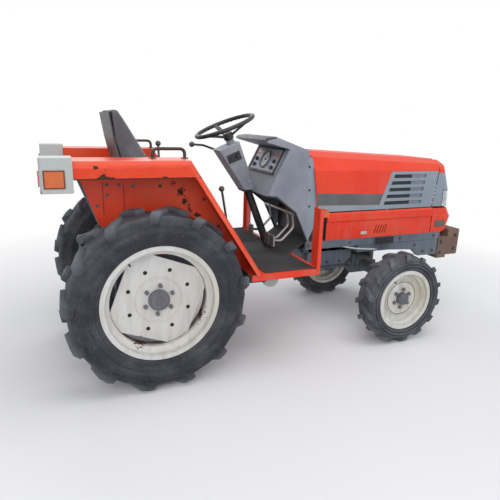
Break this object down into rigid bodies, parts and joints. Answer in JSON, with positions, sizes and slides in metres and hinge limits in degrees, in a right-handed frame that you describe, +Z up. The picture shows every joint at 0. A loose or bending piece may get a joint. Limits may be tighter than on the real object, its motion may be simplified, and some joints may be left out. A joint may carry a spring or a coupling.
{
  "type": "farm tractor",
  "caption": "Compact open-platform four-wheel-drive farm tractor with flared fenders, tilting hood, front weights and a rear three-point hitch",
  "frame": {"origin": "on the ground under the middle of the tractor", "axes": "+X forward along the hood, +Y to the left of the driver, +Z up"},
  "size_m": [2.769, 1.163, 1.4013],
  "materials": {
    "tyre": "dusty matt rubber",
    "rim_white": "worn satin paint",
    "rim_cream": "worn satin paint",
    "case_grey": "oily dull paint",
    "engine_grey": "oily cast iron",
    "body_orange": "sun-faded chipped paint",
    "body_red": "worn gloss paint",
    "louvre_grey": "matt moulded plastic",
    "trim_grey": "matt moulded plastic",
    "lamp_grey": "matt moulded plastic",
    "lens_amber": "clear tinted plastic",
    "lamp_glass": "clear glass",
    "black_plastic": "matt black plastic",
    "handle_brown": "dull plastic coat",
    "seat_vinyl": "grained vinyl",
    "dark_steel": "dull bare steel",
    "bright_steel": "bare steel",
    "rust_iron": "rusty cast iron"
  },
  "bodies": {
    "chassis": {"front_axle": "case_grey", "front_frame": "case_grey", "transmission_case": "case_grey", "axle_housings": "case_grey", "hitch_brackets": "case_grey", "engine_block": "engine_grey", "floor_plate": "body_red", "fenders": "body_orange", "fender_stays": "case_grey", "tail_lamps": "lamp_grey", "lamp_lenses": "lens_amber", "grab_handles": "handle_brown", "seat_base": "case_grey", "dash_cowl": "trim_grey", "instrument_panel": "lamp_grey", "steering_column": "trim_grey", "control_levers": "dark_steel", "pedals": "bright_steel", "nose_panel": "body_red", "grille": "black_plastic", "headlamps": "lamp_glass", "bumper": "body_red", "side_panels": "body_red", "oil_filter": "lamp_grey", "side_box": "black_plastic", "front_weights": "rust_iron"},
    "rear_wheel_left": {"rear_tyre_left": "tyre", "rear_rim_left": "rim_white", "rear_hub_left": "case_grey"},
    "rear_wheel_right": {"rear_tyre_right": "tyre", "rear_rim_right": "rim_white", "rear_hub_right": "case_grey"},
    "front_wheel_left": {"front_tyre_left": "tyre", "front_rim_left": "rim_cream", "front_hub_left": "case_grey"},
    "front_wheel_right": {"front_tyre_right": "tyre", "front_rim_right": "rim_cream", "front_hub_right": "case_grey"},
    "knuckle_left": {"knuckle_left": "case_grey"},
    "knuckle_right": {"knuckle_right": "case_grey"},
    "tie_rod": {"tie_rod": "dark_steel"},
    "steering_wheel": {"steering_wheel": "black_plastic"},
    "hood": {"hood": "body_red", "hood_louvres": "louvre_grey"},
    "seat": {"seat_frame": "black_plastic", "seat_cushion": "seat_vinyl"},
    "lift_arms": {"lift_arms": "case_grey"},
    "lift_rods": {"lift_rods": "dark_steel"},
    "lower_links": {"lower_links": "dark_steel"},
    "pto_shaft": {"pto_shaft": "bright_steel"}
  },
  "joints": [
    {"name": "rear_left_spin", "type": "hinge", "parent": "chassis", "child": "rear_wheel_left", "pos_m": [-0.8735, 0.476, 0.46842], "axis": [0, 1, 0], "continuous": true},
    {"name": "rear_right_spin", "type": "hinge", "parent": "chassis", "child": "rear_wheel_right", "pos_m": [-0.8735, -0.476, 0.46842], "axis": [0, 1, 0], "continuous": true},
    {"name": "steer_left", "type": "hinge", "parent": "chassis", "child": "knuckle_left", "pos_m": [0.6845, 0.35, 0.28876], "axis": [0, 0, 1], "range_deg": [-40, 40]},
    {"name": "steer_right", "type": "hinge", "parent": "chassis", "child": "knuckle_right", "pos_m": [0.6845, -0.35, 0.28876], "axis": [0, 0, 1], "range_deg": [-40, 40]},
    {"name": "tie_rod_swing", "type": "hinge", "parent": "knuckle_left", "child": "tie_rod", "pos_m": [0.5445, 0.35, 0.505], "axis": [0, 0, 1], "range_deg": [-40, 40]},
    {"name": "front_left_spin", "type": "hinge", "parent": "knuckle_left", "child": "front_wheel_left", "pos_m": [0.6845, 0.468, 0.28876], "axis": [0, 1, 0], "continuous": true},
    {"name": "front_right_spin", "type": "hinge", "parent": "knuckle_right", "child": "front_wheel_right", "pos_m": [0.6845, -0.468, 0.28876], "axis": [0, 1, 0], "continuous": true},
    {"name": "steering_wheel_turn", "type": "hinge", "parent": "chassis", "child": "steering_wheel", "pos_m": [-0.3285, 0, 1.248], "axis": [-0.3827, 0, 0.9239], "range_deg": [-450, 450]},
    {"name": "hood_hinge", "type": "hinge", "parent": "chassis", "child": "hood", "pos_m": [1.1365, 0, 1.117], "axis": [0, 1, 0], "range_deg": [0, 50]},
    {"name": "seat_tip", "type": "hinge", "parent": "chassis", "child": "seat", "pos_m": [-0.5885, 0, 0.953], "axis": [0, 1, 0], "range_deg": [0, 35]},
    {"name": "lift_arm_swing", "type": "hinge", "parent": "chassis", "child": "lift_arms", "pos_m": [-0.9855, 0, 0.7], "axis": [0, 1, 0], "range_deg": [-8, 45]},
    {"name": "lower_link_swing", "type": "hinge", "parent": "chassis", "child": "lower_links", "pos_m": [-0.8335, 0, 0.3], "axis": [0, 1, 0], "range_deg": [-4.98, 27.55]},
    {"name": "lift_rod_swing", "type": "hinge", "parent": "lift_arms", "child": "lift_rods", "pos_m": [-1.19411, 0, 0.64799], "axis": [0, 1, 0], "range_deg": [-46.36, 8.32]},
    {"name": "pto_spin", "type": "hinge", "parent": "chassis", "child": "pto_shaft", "pos_m": [-1.0385, 0, 0.486], "axis": [1, 0, 0], "continuous": true}
  ],
  "couplings": [
    {"joint": "steer_right", "follows": "steer_left", "ratio": 1},
    {"joint": "tie_rod_swing", "follows": "steer_left", "ratio": -1},
    {"joint": "steering_wheel_turn", "follows": "steer_left", "ratio": 11.25},
    {"joint": "lower_link_swing", "follows": "lift_arm_swing", "ratio": 0.61},
    {"joint": "lift_rod_swing", "follows": "lift_arm_swing", "ratio": -1.028}
  ]
}
